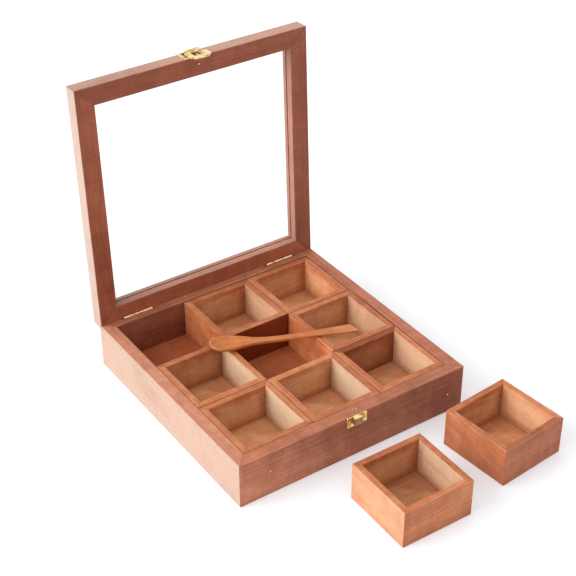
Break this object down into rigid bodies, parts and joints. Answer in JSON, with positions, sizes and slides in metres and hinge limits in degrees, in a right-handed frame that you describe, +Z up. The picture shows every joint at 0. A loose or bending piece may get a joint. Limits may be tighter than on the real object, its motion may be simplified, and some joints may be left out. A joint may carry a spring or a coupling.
{
  "type": "spice box",
  "caption": "Square wooden spice box with loose mitred cups on a grid, a glazed lid on brass hinges with a loop and catch, and a small wooden spoon.",
  "frame": {"origin": "middle of the box's underside", "axes": "+X to the box's right, +Y to the hinged back, +Z up"},
  "size_m": [0.2808, 0.3947, 0.3023],
  "materials": {
    "box_wood": "satin red-brown hardwood, fine straight grain",
    "lid_wood": "satin red-brown hardwood, a little darker",
    "panel_wood": "satin red-brown veneer board",
    "cup_wood": "satin warm brown hardwood",
    "spoon_wood": "smooth orange-brown hardwood",
    "brass": "polished yellow brass",
    "glass": "clear flat glass"
  },
  "bodies": {
    "box": {"front_wall": "box_wood", "back_wall": "box_wood", "left_wall": "box_wood", "right_wall": "box_wood", "base_panel": "panel_wood", "left_base_leaf": "brass", "right_base_leaf": "brass", "left_hinge_pin": "brass", "right_hinge_pin": "brass", "catch_plate": "brass", "catch_screws": "brass", "front_brads": "brass"},
    "lid": {"lid_front_rail": "lid_wood", "lid_back_rail": "lid_wood", "lid_left_stile": "lid_wood", "lid_right_stile": "lid_wood", "glass_pane": "glass", "left_lid_leaf": "brass", "right_lid_leaf": "brass", "locating_pin": "brass", "hasp_plate": "brass", "hasp_pin": "brass", "hasp_screws": "brass"},
    "loop": {"hasp_loop": "brass"},
    "cup_1": {"cup_1_sides": "cup_wood", "cup_1_ends": "cup_wood", "cup_1_floor": "cup_wood"},
    "cup_2": {"cup_2_sides": "cup_wood", "cup_2_ends": "cup_wood", "cup_2_floor": "cup_wood"},
    "cup_3": {"cup_3_sides": "cup_wood", "cup_3_ends": "cup_wood", "cup_3_floor": "cup_wood"},
    "cup_4": {"cup_4_sides": "cup_wood", "cup_4_ends": "cup_wood", "cup_4_floor": "cup_wood"},
    "cup_5": {"cup_5_sides": "cup_wood", "cup_5_ends": "cup_wood", "cup_5_floor": "cup_wood"},
    "cup_6": {"cup_6_sides": "cup_wood", "cup_6_ends": "cup_wood", "cup_6_floor": "cup_wood"},
    "cup_7": {"cup_7_sides": "cup_wood", "cup_7_ends": "cup_wood", "cup_7_floor": "cup_wood"},
    "cup_8": {"cup_8_sides": "cup_wood", "cup_8_ends": "cup_wood", "cup_8_floor": "cup_wood"},
    "cup_9": {"cup_9_sides": "cup_wood", "cup_9_ends": "cup_wood", "cup_9_floor": "cup_wood"},
    "spoon": {"spoon": "spoon_wood"}
  },
  "joints": [
    {"name": "lid_hinge", "type": "hinge", "parent": "box", "child": "lid", "pos_m": [0, 0.1229, 0.047], "axis": [-1, 0, 0], "range_deg": [-92.4, 0]},
    {"name": "loop_pivot", "type": "hinge", "parent": "lid", "child": "loop", "pos_m": [0, 0.13894, 0.30065], "axis": [-1, 0, 0], "range_deg": [-11, 180]},
    {"name": "cup_1_lift", "type": "slide", "parent": "box", "child": "cup_1", "axis": [0, 0, 1], "range_m": [0, 0.06]},
    {"name": "cup_2_lift", "type": "slide", "parent": "box", "child": "cup_2", "axis": [0, 0, 1], "range_m": [0, 0.06]},
    {"name": "cup_3_lift", "type": "slide", "parent": "box", "child": "cup_3", "axis": [0, 0, 1], "range_m": [0, 0.06]},
    {"name": "cup_4_lift", "type": "slide", "parent": "box", "child": "cup_4", "axis": [0, 0, 1], "range_m": [0, 0.06]},
    {"name": "cup_5_lift", "type": "slide", "parent": "box", "child": "cup_5", "axis": [0, 0, 1], "range_m": [0, 0.06]},
    {"name": "cup_6_lift", "type": "slide", "parent": "box", "child": "cup_6", "axis": [0, 0, 1], "range_m": [0, 0.06]},
    {"name": "cup_7_lift", "type": "slide", "parent": "box", "child": "cup_7", "axis": [0, 0, 1], "range_m": [0, 0.06]},
    {"name": "cup_8_lift", "type": "slide", "parent": "box", "child": "cup_8", "axis": [0, 0, 1], "range_m": [0, 0.06]},
    {"name": "cup_9_lift", "type": "slide", "parent": "box", "child": "cup_9", "axis": [0, 0, 1], "range_m": [0, 0.06]},
    {"name": "spoon_lift", "type": "slide", "parent": "cup_4", "child": "spoon", "axis": [0, 0, 1], "range_m": [0, 0.04]}
  ],
  "couplings": [
    {"joint": "cup_5_lift", "follows": "cup_4_lift", "ratio": 1}
  ]
}
